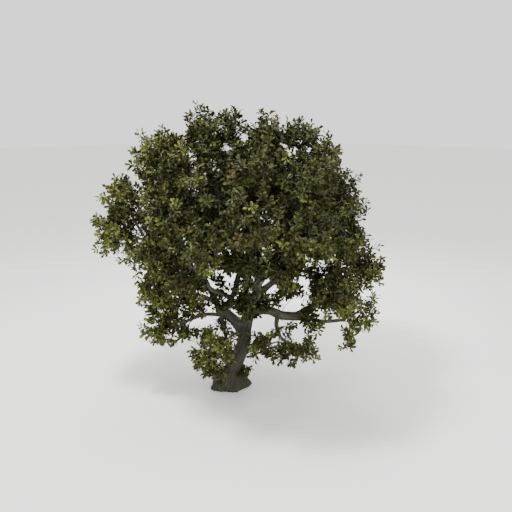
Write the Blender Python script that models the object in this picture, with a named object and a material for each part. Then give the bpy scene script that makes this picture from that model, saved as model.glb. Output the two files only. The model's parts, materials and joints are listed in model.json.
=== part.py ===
"""An oak tree rooted in the ground: a leaning trunk, its boughs and its masses of foliage.

Metres, +Z up. The origin is the middle of the flat cut under the trunk, at ground level.
+X is the crown's long side and +Y its far side.
"""
import math
from collections import namedtuple

import bpy
import bmesh
import numpy as np
from mathutils.bvhtree import BVHTree

# Clearance between solids that touch
GAP = 0.0004
# Twigs and leaves stay this far from a limb that isn't their own
CLEAR = 0.012
# Points nearer than this count as one when a solid is tested
MERGE = 0.00001

# Trunk: a lean with a slow sway in it, a taper, and a flare with root lobes
TRUNK_HEIGHT = 3.85
TRUNK_LEAN = 0.278
TRUNK_SWAY = 0.06
TRUNK_SWAY_LENGTH = 2.2
TRUNK_FOOT_RADIUS = 0.375
TRUNK_TAPER = 0.06
TRUNK_TOP_RADIUS = 0.235
TRUNK_SIDES = 16
TRUNK_LEVELS = (0.0, 0.05, 0.14, 0.28, 0.5, 0.8, 1.15, 1.5, 1.85, 2.2, 2.6, 3.0, 3.4, 3.7)
TRUNK_DOME_LEVELS = ((3.8, 0.85), (3.87, 0.5))
FLARE_RADIUS = 0.38
FLARE_HEIGHT = 0.45
ROOT_LOBES = 5
ROOT_LOBE_DEPTH = 0.16
ROOT_LOBE_SKEW = 0.1
ROOT_LOBE_TURN = math.radians(-10)

# Boughs: a slow sway in their rise, rings about every RING_SPACING, a collar and a flat tip
SWAY_DEGREES = 11
SWAY_LENGTH = 1.7
RING_SPACING = 0.75
THICK_RADIUS = 0.125
THICK_SIDES = 8
THIN_SIDES = 6
COLLAR = 0.25
COLLAR_LENGTH = 0.3
SHARP_ANGLE = math.radians(50)
STEEP = 0.2

# A limb starts at a share of its parent's length. Heading is in degrees from +X toward +Y,
# rise in degrees above level, and turn and lift are how far the two change along its length.
# A rise past 90 leans back over its start. Thick and thin are its radii at foot and tip.
Limb = namedtuple("Limb", "parent at heading rise turn lift length thick thin")
LIMBS = {
    "left_bough": Limb("trunk", 0.565, -170, 50, 0, -4, 1.45, 0.24, 0.165),
    "right_bough": Limb("trunk", 0.8, -10, 0, 10, -15, 1.95, 0.19, 0.16),
    "leader_left": Limb("trunk", 0.98, -145, 50, -20, 38, 4.7, 0.13, 0.06),
    "leader_mid": Limb("trunk", 0.97, 45, 84, 130, 0, 4.8, 0.15, 0.06),
    "leader_right": Limb("trunk", 0.96, 0, 32, 20, 65, 5.3, 0.13, 0.06),
    "far_left_bough": Limb("left_bough", 0.97, 150, 65, 45, -45, 4.0, 0.12, 0.06),
    "up_left_bough": Limb("left_bough", 0.9, 175, 132, 10, -99, 5.2, 0.11, 0.06),
    "low_left_bough": Limb("left_bough", 0.66, -165, 23, -15, -62, 1.8, 0.08, 0.06),
    "mid_left_bough": Limb("far_left_bough", 0.06, -135, 28, -20, 10, 1.2, 0.08, 0.06),
    "pendant_bough": Limb("left_bough", 0.93, -78, -54, 25, 6, 1.75, 0.07, 0.055),
    "front_left_bough": Limb("up_left_bough", 0.12, -125, 25, 10, 25, 2.95, 0.09, 0.06),
    "right_up_bough": Limb("right_bough", 0.95, 5, 22, 10, 90, 3.8, 0.16, 0.06),
    "right_out_bough": Limb("right_bough", 0.97, 5, -20, 0, 25, 1.8, 0.09, 0.06),
    "right_side_bough": Limb("right_up_bough", 0.33, 15, 15, 0, 60, 1.3, 0.07, 0.06),
    "under_bough": Limb("right_bough", 0.55, -125, -50, 95, 0, 0.95, 0.09, 0.06),
    "front_mid_bough": Limb("leader_mid", 0.1, -90, 40, -15, 10, 3.8, 0.12, 0.06),
    "front_right_bough": Limb("leader_right", 0.14, -70, 40, 0, 10, 3.2, 0.11, 0.06),
    "front_low_bough": Limb("trunk", 0.87, -80, 20, 0, 40, 1.9, 0.08, 0.06),
    "back_left_bough": Limb("leader_left", 0.1, 120, 30, 20, -20, 3.3, 0.11, 0.06),
    "back_right_bough": Limb("leader_right", 0.22, 70, 35, 0, -20, 2.6, 0.11, 0.06),
    "back_mid_bough": Limb("leader_mid", 0.2, 95, 45, 10, -15, 2.9, 0.11, 0.06),
}

# A mass of foliage grows from its bough's tip: the heading, rise and reach from there to its
# middle, then its half sizes along X, Y and Z.
Mass = namedtuple("Mass", "bough heading rise reach half_x half_y half_z")
MASSES = {
    "foliage_left_low": Mass("low_left_bough", 175, -25, 0.65, 1.2, 1.1, 0.45),
    "foliage_left_side": Mass("low_left_bough", 140, 55, 1.45, 1.1, 1.5, 1.15),
    "foliage_left_mid": Mass("mid_left_bough", 175, 50, 2.0, 1.15, 1.5, 0.95),
    "foliage_left_front": Mass("mid_left_bough", -90, 45, 1.55, 1.05, 1.3, 1.05),
    "foliage_far_left": Mass("far_left_bough", -175, 20, 1.1, 0.9, 1.3, 1.0),
    "foliage_left_upper": Mass("far_left_bough", 160, 60, 1.65, 0.7, 1.4, 1.05),
    "foliage_left_shoulder": Mass("up_left_bough", 155, 30, 2.15, 1.0, 1.6, 1.2),
    "foliage_upper_left": Mass("up_left_bough", -125, 45, 1.65, 1.05, 1.5, 1.15),
    "foliage_top_left": Mass("leader_left", 115, 55, 2.0, 0.85, 1.6, 1.05),
    "foliage_upper_front_left": Mass("leader_left", -100, 5, 1.65, 1.1, 1.5, 1.0),
    "foliage_top_mid": Mass("leader_mid", 150, 55, 1.6, 0.55, 1.4, 0.75),
    "foliage_top_mid_right": Mass("leader_mid", -50, 50, 1.15, 1.05, 1.6, 1.0),
    "foliage_top_right": Mass("leader_right", 135, 65, 1.5, 0.8, 1.2, 0.7),
    "foliage_right_shoulder": Mass("leader_right", 45, 75, 0.5, 1.0, 1.6, 1.1),
    "foliage_right_upper": Mass("right_up_bough", 75, 70, 1.45, 1.05, 1.6, 1.1),
    "foliage_right_mid": Mass("right_up_bough", -75, 15, 1.05, 1.0, 1.7, 1.0),
    "foliage_far_right": Mass("right_side_bough", 35, 5, 0.7, 1.05, 1.3, 0.9),
    "foliage_right_side": Mass("right_side_bough", -120, -15, 1.2, 1.1, 1.3, 1.15),
    "foliage_right_low": Mass("right_out_bough", 0, 30, 0.7, 0.85, 0.8, 0.65),
    "foliage_right_drooping": Mass("right_out_bough", -70, -50, 0.65, 0.55, 0.5, 0.4),
    "foliage_under_left": Mass("under_bough", -170, -25, 0.75, 0.75, 0.8, 0.75),
    "foliage_under_right": Mass("under_bough", 5, -30, 0.8, 1.0, 0.9, 0.7),
    "foliage_pendant": Mass("pendant_bough", -175, 15, 0.8, 0.9, 0.9, 1.1),
    "foliage_foot": Mass("pendant_bough", -160, -40, 0.95, 0.7, 0.6, 0.45),
    "foliage_front_left_out": Mass("front_left_bough", 180, 70, 2.0, 1.15, 1.5, 1.1),
    "foliage_front_left": Mass("front_left_bough", -60, 50, 1.75, 1.15, 1.5, 1.05),
    "foliage_front_mid": Mass("front_mid_bough", -85, 20, 1.3, 1.2, 1.5, 1.1),
    "foliage_front_top": Mass("front_mid_bough", -80, 80, 1.65, 1.15, 1.6, 1.1),
    "foliage_front_right": Mass("front_right_bough", -85, 20, 1.25, 1.3, 1.6, 1.1),
    "foliage_front_right_up": Mass("front_right_bough", -85, 80, 1.95, 1.25, 1.6, 1.15),
    "foliage_front_low": Mass("front_low_bough", -60, 55, 1.1, 1.6, 1.4, 1.0),
    "foliage_front_fork": Mass("front_low_bough", 165, -45, 0.85, 0.6, 0.7, 0.8),
    "foliage_back_left_out": Mass("back_left_bough", 170, 45, 1.8, 1.55, 1.7, 1.6),
    "foliage_back_left": Mass("back_left_bough", 90, 20, 1.5, 1.75, 1.6, 1.6),
    "foliage_back_right_out": Mass("back_right_bough", 20, 25, 1.1, 1.6, 1.7, 1.6),
    "foliage_back_right": Mass("back_right_bough", 95, 5, 1.5, 1.7, 1.6, 1.6),
    "foliage_back_mid": Mass("back_mid_bough", 90, -5, 1.55, 1.85, 1.6, 1.7),
    "foliage_back_top": Mass("back_mid_bough", -165, 85, 1.8, 1.9, 1.8, 1.4),
}

# Growth inside a mass. A spray is a twig's end with a leaf on each of its three sides and one
# at its tip, and each of these leaves stands for many, so it is larger than life.
SEED = 7
CROWN_HEART = np.array((1.0, 0.0, 6.0))
SPRAYS_PER_AREA = 1.7
LEAST_SPRAYS = 2
LEAST_KEPT = 0.7
ATTEMPTS = 12
SPRAY_DEPTH = 0.45
FORK_SHARE = 0.5
HEART_SHARE = 0.5
STEM_NECK = 0.14
STEM_PLACE = 0.5
STEM_SPREAD = 0.5
STEM_RADIUS = 0.026
TWIG_RADIUS = 0.018
LEAF_LENGTH = 0.8
SHORTEST_LEAF = 0.28
LEAF_WIDTH_SHARE = 0.5
LEAF_WIDEST_AT = 0.58
LEAF_THICKNESS_SHARE = 0.03
LEAF_ROOT = 0.006
LEAF_CLEAR = 0.08
LEAF_STEP = 0.9
LEAF_SPLAY = math.radians(58)
LEAF_TURN = math.radians(30)
LEAF_PLACES = (0.45, 0.7, 0.95)

BARK_COLOUR = (0.075, 0.072, 0.046)
BARK_ROUGHNESS = 0.9
LEAF_COLOUR = (0.05, 0.062, 0.014)
LEAF_ROUGHNESS = 0.65


def heading_and_rise(heading, rise):
    """The unit vector of a heading and a rise in degrees."""
    heading, rise = math.radians(heading), math.radians(rise)
    level = math.cos(rise)
    return np.array((level * math.cos(heading), level * math.sin(heading), math.sin(rise)))


def unit(vector):
    """The vector at a length of one."""
    return vector / np.linalg.norm(vector)


def square_to(way):
    """Two unit vectors square to a direction and to each other."""
    level = np.cross((0.0, 0.0, 1.0), way)
    if np.linalg.norm(level) < STEEP:
        level = np.cross((0.0, 1.0, 0.0), way)
    level = unit(level)
    return level, np.cross(unit(way), level)


def trunk_centre(height):
    """The middle of the trunk at a height."""
    sway = TRUNK_SWAY * math.sin(2 * math.pi * height / TRUNK_SWAY_LENGTH)
    return np.array((TRUNK_LEAN * height - sway, 0.0, height))


def trunk_radius(height, angle):
    """The trunk's radius at a height and an angle round it, with the flare's root lobes."""
    taper = max(TRUNK_TOP_RADIUS, TRUNK_FOOT_RADIUS - TRUNK_TAPER * height)
    lobes = ROOT_LOBE_DEPTH * math.cos(ROOT_LOBES * angle + ROOT_LOBE_TURN)
    lobes += ROOT_LOBE_SKEW * math.cos((ROOT_LOBES - 2) * angle - ROOT_LOBE_TURN)
    return taper + FLARE_RADIUS * math.exp(-(height / FLARE_HEIGHT) ** 2) * (1 + lobes)


def limb_path(start, limb, steps):
    """Points along a limb from its start, one for each step of its length."""
    path = [np.array(start)]
    for step in range(steps):
        along = (step + 0.5) / steps
        sway = SWAY_DEGREES * math.cos(2 * math.pi * along * limb.length / SWAY_LENGTH)
        way = heading_and_rise(limb.heading + limb.turn * along, limb.rise + limb.lift * along + sway)
        path.append(path[-1] + way * limb.length / steps)
    return path


def limb_steps(limb):
    """How many steps a limb's path takes."""
    return max(2, round(limb.length / RING_SPACING))


def limb_radius(limb, along):
    """A limb's radius at a share of its length, with a collar at its foot."""
    collar = 1 + COLLAR * math.exp(-along * limb.length / COLLAR_LENGTH)
    return (limb.thick + (limb.thin - limb.thick) * along) * collar


def point_along(path, share):
    """The point at a share of a path's length, its steps being even."""
    place = share * (len(path) - 1)
    step = min(int(place), len(path) - 2)
    return path[step] + (path[step + 1] - path[step]) * (place - step)


def limb_paths():
    """The path of the trunk and of every bough, each from the axis of its parent."""
    steps = limb_steps(Limb("", 0, 0, 0, 0, 0, TRUNK_HEIGHT, 0, 0))
    paths = {"trunk": [trunk_centre(TRUNK_HEIGHT * step / steps) for step in range(steps + 1)]}
    for name, limb in LIMBS.items():
        start = point_along(paths[limb.parent], limb.at)
        paths[name] = limb_path(start, limb, limb_steps(limb))
    return paths


def path_frames(path, roll=0.0, first_way=None):
    """Across and up at each point of a path, square to it, without a twist along it."""
    ways = [unit(path[min(place + 1, len(path) - 1)] - path[max(place - 1, 0)]) for place in range(len(path))]
    if first_way is not None:
        ways[0] = first_way
    across, up = square_to(ways[0])
    across = math.cos(roll) * across + math.sin(roll) * up
    frames = []
    for way in ways:
        across = unit(across - across.dot(way) * way)
        frames.append((across, np.cross(way, across)))
    return frames


def tube_rings(path, frames, radii, sides):
    """A ring of points round each point of a path, the first point of each ring on its up side."""
    rings = []
    for centre, (across, up), radius in zip(path, frames, radii):
        turns = [math.pi / 2 + 2 * math.pi * side / sides for side in range(sides)]
        rings.append([centre + radius * (math.cos(turn) * across + math.sin(turn) * up) for turn in turns])
    return rings


def skin(rings):
    """The vertices and faces of a closed body through rings of equal count."""
    sides = len(rings[0])
    faces = [tuple(reversed(range(sides)))]
    for low in range(0, (len(rings) - 1) * sides, sides):
        for side in range(sides):
            after = (side + 1) % sides
            faces.append((low + side, low + after, low + sides + after))
            faces.append((low + side, low + sides + after, low + sides + side))
    last = (len(rings) - 1) * sides
    faces.append(tuple(range(last, last + sides)))
    return [point for ring in rings for point in ring], faces


def trunk_shape(swell):
    """The trunk's closed body, larger by the swell all round."""
    rings = []
    levels = [(height, 1.0) for height in TRUNK_LEVELS] + list(TRUNK_DOME_LEVELS)
    for height, share in levels:
        ring = []
        for side in range(TRUNK_SIDES):
            angle = 2 * math.pi * side / TRUNK_SIDES
            radius = share * trunk_radius(height, angle) + swell
            ring.append(trunk_centre(height) + radius * np.array((math.cos(angle), math.sin(angle), 0)))
        rings.append(ring)
    for point in rings[-1]:
        point[2] += swell
    return skin(rings)


def limb_shape(limb, path, swell):
    """A bough's closed body along its path, larger by the swell all round."""
    sides = THICK_SIDES if limb.thick >= THICK_RADIUS else THIN_SIDES
    radii = [limb_radius(limb, place / (len(path) - 1)) + swell for place in range(len(path))]
    rings = tube_rings(path, path_frames(path), radii, sides)
    end = swell * unit(path[-1] - path[-2])
    rings[-1] = [point + end for point in rings[-1]]
    return skin(rings)


def new_object(name, shape, collection=None):
    """An object of a shape's vertices and faces, its faces turned out."""
    mesh = bpy.data.meshes.new(name)
    mesh.from_pydata([tuple(point) for point in shape[0]], [], shape[1])
    body = bmesh.new()
    body.from_mesh(mesh)
    bmesh.ops.recalc_face_normals(body, faces=body.faces)
    body.to_mesh(mesh)
    body.free()
    made = bpy.data.objects.new(name, mesh)
    (collection or bpy.context.scene.collection).objects.link(made)
    return made


def loose_parts(body):
    """The faces of each loose part of a bmesh, the largest part last."""
    left = set(body.faces)
    parts = []
    while left:
        part, edge_of_part = set(), [left.pop()]
        while edge_of_part:
            face = edge_of_part.pop()
            part.add(face)
            for edge in face.edges:
                for other in edge.link_faces:
                    if other in left:
                        left.remove(other)
                        edge_of_part.append(other)
        parts.append(part)
    return sorted(parts, key=lambda part: sum(face.calc_area() for face in part))


def one_closed_body(mesh):
    """Drop all but the largest loose part of a mesh, and say if what is left is closed."""
    body = bmesh.new()
    body.from_mesh(mesh)
    scraps = loose_parts(body)[:-1]
    for scrap in scraps:
        bmesh.ops.delete(body, geom=list(scrap), context="FACES")
    closed = len(body.faces) > 0 and all(edge.is_manifold for edge in body.edges)
    body.to_mesh(mesh)
    body.free()
    return closed


def sound(mesh):
    """Whether a mesh is one closed body, right side out, that doesn't touch itself along an edge."""
    body = bmesh.new()
    body.from_mesh(mesh)
    good = len(loose_parts(body)) == 1 and body.calc_volume(signed=True) > 0
    good = good and all(edge.calc_length() > MERGE for edge in body.edges)
    bmesh.ops.remove_doubles(body, verts=body.verts, dist=MERGE)
    good = good and all(edge.is_manifold for edge in body.edges)
    body.free()
    return good


def combine(target, operation, shapes):
    """Union or difference of an object with a collection of shapes, applied to the object."""
    collection = bpy.data.collections.new(target.name + "_pieces")
    bpy.context.scene.collection.children.link(collection)
    for shape in shapes:
        new_object(target.name + "_piece", shape, collection)
    modifier = target.modifiers.new("combine", "BOOLEAN")
    modifier.operation = operation
    modifier.operand_type = "COLLECTION"
    modifier.collection = collection
    for solver in ("EXACT", "MANIFOLD"):
        modifier.solver = solver
        graph = bpy.context.evaluated_depsgraph_get()
        mesh = bpy.data.meshes.new_from_object(target.evaluated_get(graph))
        if one_closed_body(mesh):
            break
    target.modifiers.clear()
    target.data = mesh
    for piece in list(collection.objects):
        bpy.data.objects.remove(piece)
    bpy.data.collections.remove(collection)


def paint(target, colour, roughness):
    """Give an object a material of its own."""
    material = bpy.data.materials.new(target.name)
    material.use_nodes = True
    shader = material.node_tree.nodes["Principled BSDF"]
    shader.inputs["Base Color"].default_value = (*colour, 1.0)
    shader.inputs["Roughness"].default_value = roughness
    shader.inputs["Metallic"].default_value = 0.0
    target.data.materials.clear()
    target.data.materials.append(material)


def tree_of(shape):
    """A search tree of a shape's faces, which tells what crosses them."""
    return BVHTree.FromPolygons([tuple(point) for point in shape[0]], shape[1])


def tree_of_mesh(mesh):
    """A search tree of a mesh's faces."""
    points = [vertex.co for vertex in mesh.vertices]
    return BVHTree.FromPolygons(points, [list(face.vertices) for face in mesh.polygons])


def build_limbs(paths):
    """The trunk and the boughs, each bough cut clear of the limbs made before it."""
    made = [trunk_shape(GAP)]
    trunk = new_object("trunk", trunk_shape(0.0))
    paint(trunk, BARK_COLOUR, BARK_ROUGHNESS)
    for name, limb in LIMBS.items():
        shape = limb_shape(limb, paths[name], 0.0)
        near = [other for other in made if tree_of(shape).overlap(tree_of(other))]
        bough = new_object(name, shape)
        combine(bough, "DIFFERENCE", near)
        bough.data.shade_smooth()
        bough.data.set_sharp_from_angle(angle=SHARP_ANGLE)
        paint(bough, BARK_COLOUR, BARK_ROUGHNESS)
        made.append(limb_shape(limb, paths[name], GAP))
    trunk.data.shade_smooth()
    trunk.data.set_sharp_from_angle(angle=SHARP_ANGLE)


class Space:
    """The convex room of one mass: its ellipsoid, less what lies nearer to another mass."""

    def __init__(self, centre, halves):
        self.centre = centre
        self.halves = halves
        self.walls = []

    def half_toward(self, way):
        """The ellipsoid's half size in a direction."""
        return 1 / np.linalg.norm(way / self.halves)

    def add_wall(self, other):
        """Keep to this side of the plane that parts the space from another."""
        away = other.centre - self.centre
        distance = np.linalg.norm(away)
        way = away / distance
        own, theirs = self.half_toward(way), other.half_toward(way)
        share = distance * own / (own + theirs) - CLEAR
        self.walls.append((way, way.dot(self.centre) + share))

    def holds(self, points):
        """Whether every point lies in the space."""
        if any(np.linalg.norm((point - self.centre) / self.halves) > 1 for point in points):
            return False
        return all(way.dot(point) <= limit for way, limit in self.walls for point in points)

    def reach(self, start, way):
        """How far a point inside can move in a direction before it leaves the space."""
        offset, step = (start - self.centre) / self.halves, way / self.halves
        square, double, rest = step.dot(step), offset.dot(step), offset.dot(offset) - 1
        far = (-double + math.sqrt(max(0.0, double * double - square * rest))) / square
        for wall, limit in self.walls:
            slope = wall.dot(way)
            if slope > 0:
                far = min(far, (limit - wall.dot(start)) / slope)
        return max(0.0, far)


def mass_spaces(paths):
    """The space of every mass of foliage."""
    spaces = {}
    for name, mass in MASSES.items():
        way = heading_and_rise(mass.heading, mass.rise)
        centre = paths[mass.bough][-1] + mass.reach * way
        spaces[name] = Space(centre, np.array((mass.half_x, mass.half_y, mass.half_z)))
    for name, space in spaces.items():
        for other_name, other in spaces.items():
            if other_name != name:
                space.add_wall(other)
    return spaces


def spray_spots(space, chance):
    """Places for sprays, one farthest out from the crown's heart and the rest on all sides."""
    area = np.prod(space.halves) ** (2 / 3)
    count = max(LEAST_SPRAYS, round(SPRAYS_PER_AREA * area))
    start = chance.uniform(0, 2 * math.pi)
    golden = math.pi * (3 - math.sqrt(5))
    outward = unit(space.centre - CROWN_HEART)
    far = space.reach(space.centre, outward)
    spots = [space.centre + outward * max(far * SPRAY_DEPTH, far - LEAF_LENGTH)]
    for place in range(count):
        height = 1 - 2 * (place + 0.5) / count
        level = math.sqrt(1 - height * height)
        turn = start + golden * place
        way = unit(np.array((level * math.cos(turn), level * math.sin(turn), height)) * space.halves)
        spots.append(space.centre + way * space.reach(space.centre, way) * SPRAY_DEPTH)
    return np.array(spots)


def split(spots):
    """The spots in two halves, parted across their longest spread."""
    spread = spots - spots.mean(axis=0)
    axis = np.linalg.svd(spread, full_matrices=False)[2][0]
    axis *= np.sign(axis[np.abs(axis).argmax()])
    order = np.argsort(spread @ axis)
    half = len(order) // 2
    return spots[order[:half]], spots[order[half:]]


def grow(path, counts, spots, twigs):
    """Carry a twig on to one of its spots, with a side twig at each fork for the other half."""
    while len(spots) > 1:
        path.append(path[-1] + (spots.mean(axis=0) - path[-1]) * FORK_SHARE)
        counts.append(len(spots))
        spots, others = split(spots)
        grow([path[-1]], [len(others)], others, twigs)
    path.append(spots[0])
    counts.append(1)
    twigs.append((path, counts))


def stem_start(name, spaces, paths):
    """The first points of a mass's stem: on its bough's tip, past it, and inside its space."""
    space, bough = spaces[name], MASSES[name].bough
    tip = paths[bough][-1]
    way = unit(tip - paths[bough][-2])
    sisters = [other for other in MASSES if MASSES[other].bough == bough and other != name]
    aside = space.centre - (spaces[sisters[0]].centre if sisters else tip)
    aside = unit(aside - aside.dot(way) * way)
    foot = tip + way * GAP + aside * LIMBS[bough].thin * (STEM_PLACE if sisters else 0)
    neck = foot + (way + STEM_SPREAD * aside) * STEM_NECK
    back = neck - space.centre
    inward = unit(back)
    depth = min(space.reach(space.centre, inward), np.linalg.norm(back))
    return [foot, neck, space.centre + inward * depth * HEART_SHARE], way


def leaf_ring(root, way, across, length):
    """The three points of a leaf at its widest place: its crest and its two sides."""
    wide = root + way * length * LEAF_WIDEST_AT
    side = across * length * LEAF_WIDTH_SHARE / 2
    return [wide + np.cross(way, across) * length * LEAF_THICKNESS_SHARE, wide - side, wide + side]


def close_to_point(rings, tip):
    """The vertices and faces of a closed body through rings that ends in a point."""
    points, faces = skin(rings)
    last = faces.pop()
    for side, corner in enumerate(last):
        faces.append((corner, last[(side + 1) % len(last)], len(points)))
    return points + [tip], faces


def leaf_fit(space, root, way, across):
    """The length of leaf that the space has room for, or 0 if that is too short."""
    length = min(LEAF_LENGTH, space.reach(root, way))
    while length > SHORTEST_LEAF:
        if space.holds(leaf_ring(root, way, across, length)):
            return length
        length *= LEAF_STEP
    return 0.0


def leaf_shape(root, way, across, length):
    """A leaf's closed body, three-sided, from a narrow root to its tip."""
    crest = np.cross(way, across)
    foot = [root + crest * LEAF_ROOT, root - across * LEAF_ROOT, root + across * LEAF_ROOT]
    return close_to_point([foot, leaf_ring(root, way, across, length)], root + way * length)


def twig_shape(space, path, counts, most, roll, first_way):
    """A twig's closed body, which widens into the leaf at its end, and its last frame."""
    frames = path_frames(path, roll, first_way)
    radii = []
    for count in counts:
        share = math.sqrt((count - 1) / max(1, most - 1))
        radii.append(TWIG_RADIUS + (STEM_RADIUS - TWIG_RADIUS) * share)
    rings = tube_rings(path, frames, radii, 3)
    way = unit(path[-1] - path[-2])
    length = leaf_fit(space, path[-1], way, frames[-1][0])
    if length == 0.0:
        return skin(rings), frames[-1]
    rings.append(leaf_ring(path[-1], way, frames[-1][0], length))
    return close_to_point(rings, path[-1] + way * length), frames[-1]


def touches(shape, trees):
    """Whether a shape crosses anything that the search trees hold."""
    tree = tree_of(shape)
    return any(tree.overlap(other) for other in trees)


def grow_twigs(stem, spots, space, obstacles):
    """Twigs from a stem to the spots, without those that leave the space or touch a limb."""
    while True:
        twigs = []
        grow(list(stem), [len(spots)] * len(stem), spots, twigs)
        kept = []
        for path, counts in twigs:
            inner = path[len(stem) - 1:] if path[0] is stem[0] else path
            tube = skin(tube_rings(inner, path_frames(inner), [STEM_RADIUS] * len(inner), 3))
            kept.append(space.holds(inner) and not touches(tube, obstacles))
        if all(kept):
            return twigs
        if not any(kept):
            return []
        spots = np.array([path[-1] for (path, counts), good in zip(twigs, kept) if good])


def mass_shapes(name, spaces, paths, obstacles, chance):
    """The closed bodies of one mass: its twigs, each with its last leaf, and its side leaves.

    None, where too few of its twigs find room.
    """
    space = spaces[name]
    stem, way = stem_start(name, spaces, paths)
    spots = spray_spots(space, chance)
    twigs = grow_twigs(stem, spots, space, obstacles)
    if len(twigs) < LEAST_KEPT * len(spots):
        return None
    shapes, ends = [], []
    for path, counts in twigs:
        main = path[0] is stem[0]
        roll = chance.uniform(0, 2 * math.pi)
        shape, frame = twig_shape(space, path, counts, len(twigs), roll, way if main else None)
        shapes.insert(0 if main else len(shapes), shape)
        ends.append((path[-2], path[-1], frame))
    taken = [tree_of(shape) for shape in shapes] + obstacles
    for start, end, (across, up) in ends:
        along = unit(end - start)
        for side, place in enumerate(LEAF_PLACES):
            turn = LEAF_TURN + 2 * math.pi * side / len(LEAF_PLACES)
            out = math.cos(turn) * across + math.sin(turn) * up
            leaf_way = math.cos(LEAF_SPLAY) * along + math.sin(LEAF_SPLAY) * out
            leaf_across = unit(np.cross(leaf_way, along))
            root = start + (end - start) * place
            length = leaf_fit(space, root, leaf_way, leaf_across)
            if length == 0.0:
                continue
            outer = leaf_shape(root + leaf_way * LEAF_CLEAR, leaf_way, leaf_across, length - LEAF_CLEAR)
            if touches(outer, taken):
                continue
            shapes.append(leaf_shape(root, leaf_way, leaf_across, length))
            taken.append(tree_of(shapes[-1]))
    return shapes


def build_masses(paths):
    """Every mass of foliage, each joined into one solid."""
    spaces = mass_spaces(paths)
    limbs = [tree_of(limb_shape(limb, paths[name], CLEAR)) for name, limb in LIMBS.items()]
    limbs.append(tree_of(trunk_shape(CLEAR)))
    stems = {}
    for name in MASSES:
        stem = stem_start(name, spaces, paths)[0]
        stems[name] = tree_of(skin(tube_rings(stem, path_frames(stem), [STEM_RADIUS + CLEAR] * 3, 3)))
    built = [tree_of_mesh(limb.data) for limb in bpy.data.objects]
    for index, name in enumerate(MASSES):
        obstacles = limbs + [stem for other, stem in stems.items() if other != name]
        for attempt in range(ATTEMPTS):
            chance = np.random.default_rng((SEED, index, attempt))
            shapes = mass_shapes(name, spaces, paths, obstacles, chance)
            if shapes is None:
                continue
            foliage = new_object(name, shapes[0])
            combine(foliage, "UNION", shapes[1:])
            tree = tree_of_mesh(foliage.data)
            if sound(foliage.data) and not any(tree.overlap(other) for other in built):
                break
            bpy.data.objects.remove(foliage)
        else:
            raise ValueError(name + " finds no sound growth")
        built.append(tree)
        paint(foliage, LEAF_COLOUR, LEAF_ROUGHNESS)


def build_tree():
    """The whole tree."""
    paths = limb_paths()
    build_limbs(paths)
    build_masses(paths)


for old in list(bpy.data.objects):
    bpy.data.objects.remove(old)
build_tree()
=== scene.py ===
"""The looks of an oak tree: bark, twigs and leaves that grow on from its limbs, and its stage.

Metres, +Z up. The limbs and the masses of foliage follow the same sizes and the same growth
rule as the tree's solids, carried on to finer twigs and to leaves of their own outline.
"""
import functools
import json
import math
from collections import namedtuple

import bpy
import numpy as np
from bpy.props import FloatProperty, FloatVectorProperty, IntProperty
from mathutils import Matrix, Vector

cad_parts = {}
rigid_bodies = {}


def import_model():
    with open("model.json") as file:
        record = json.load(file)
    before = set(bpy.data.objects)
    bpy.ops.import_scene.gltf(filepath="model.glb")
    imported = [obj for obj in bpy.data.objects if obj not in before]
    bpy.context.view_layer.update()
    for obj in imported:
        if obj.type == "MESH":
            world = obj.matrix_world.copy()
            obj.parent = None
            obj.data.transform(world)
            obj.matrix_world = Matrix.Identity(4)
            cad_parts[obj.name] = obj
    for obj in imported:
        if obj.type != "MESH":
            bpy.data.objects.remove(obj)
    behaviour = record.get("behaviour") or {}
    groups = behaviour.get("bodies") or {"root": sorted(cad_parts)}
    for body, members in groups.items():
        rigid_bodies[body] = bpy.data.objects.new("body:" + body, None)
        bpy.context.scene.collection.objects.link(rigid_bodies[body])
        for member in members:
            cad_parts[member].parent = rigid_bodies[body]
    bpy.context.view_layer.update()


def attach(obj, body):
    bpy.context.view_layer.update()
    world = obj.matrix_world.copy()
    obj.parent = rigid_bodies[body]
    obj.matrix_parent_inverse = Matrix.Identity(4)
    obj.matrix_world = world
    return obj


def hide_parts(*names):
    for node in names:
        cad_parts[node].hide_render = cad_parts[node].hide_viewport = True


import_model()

bl_info = {
    "name": "Oak Tree",
    "version": (1, 0, 0),
    "blender": (4, 5, 0),
    "location": "View3D > Sidebar > Oak",
    "description": "Builds an oak tree's bark, twigs, leaves and stage",
    "category": "Add Mesh",
}

# The limbs, with the sizes of the tree's solids
TRUNK_HEIGHT = 3.85
TRUNK_LEAN = 0.278
TRUNK_SWAY = 0.06
TRUNK_SWAY_LENGTH = 2.2
TRUNK_FOOT_RADIUS = 0.375
TRUNK_TAPER = 0.06
TRUNK_TOP_RADIUS = 0.235
TRUNK_DOME_LEVELS = ((3.7, 1.0), (3.8, 0.85), (3.87, 0.5))
FLARE_RADIUS = 0.38
FLARE_HEIGHT = 0.45
ROOT_LOBES = 5
ROOT_LOBE_DEPTH = 0.16
ROOT_LOBE_SKEW = 0.1
ROOT_LOBE_TURN = math.radians(-10)
SWAY_DEGREES = 11
SWAY_LENGTH = 1.7
RING_SPACING = 0.75
COLLAR = 0.25
COLLAR_LENGTH = 0.3

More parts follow.
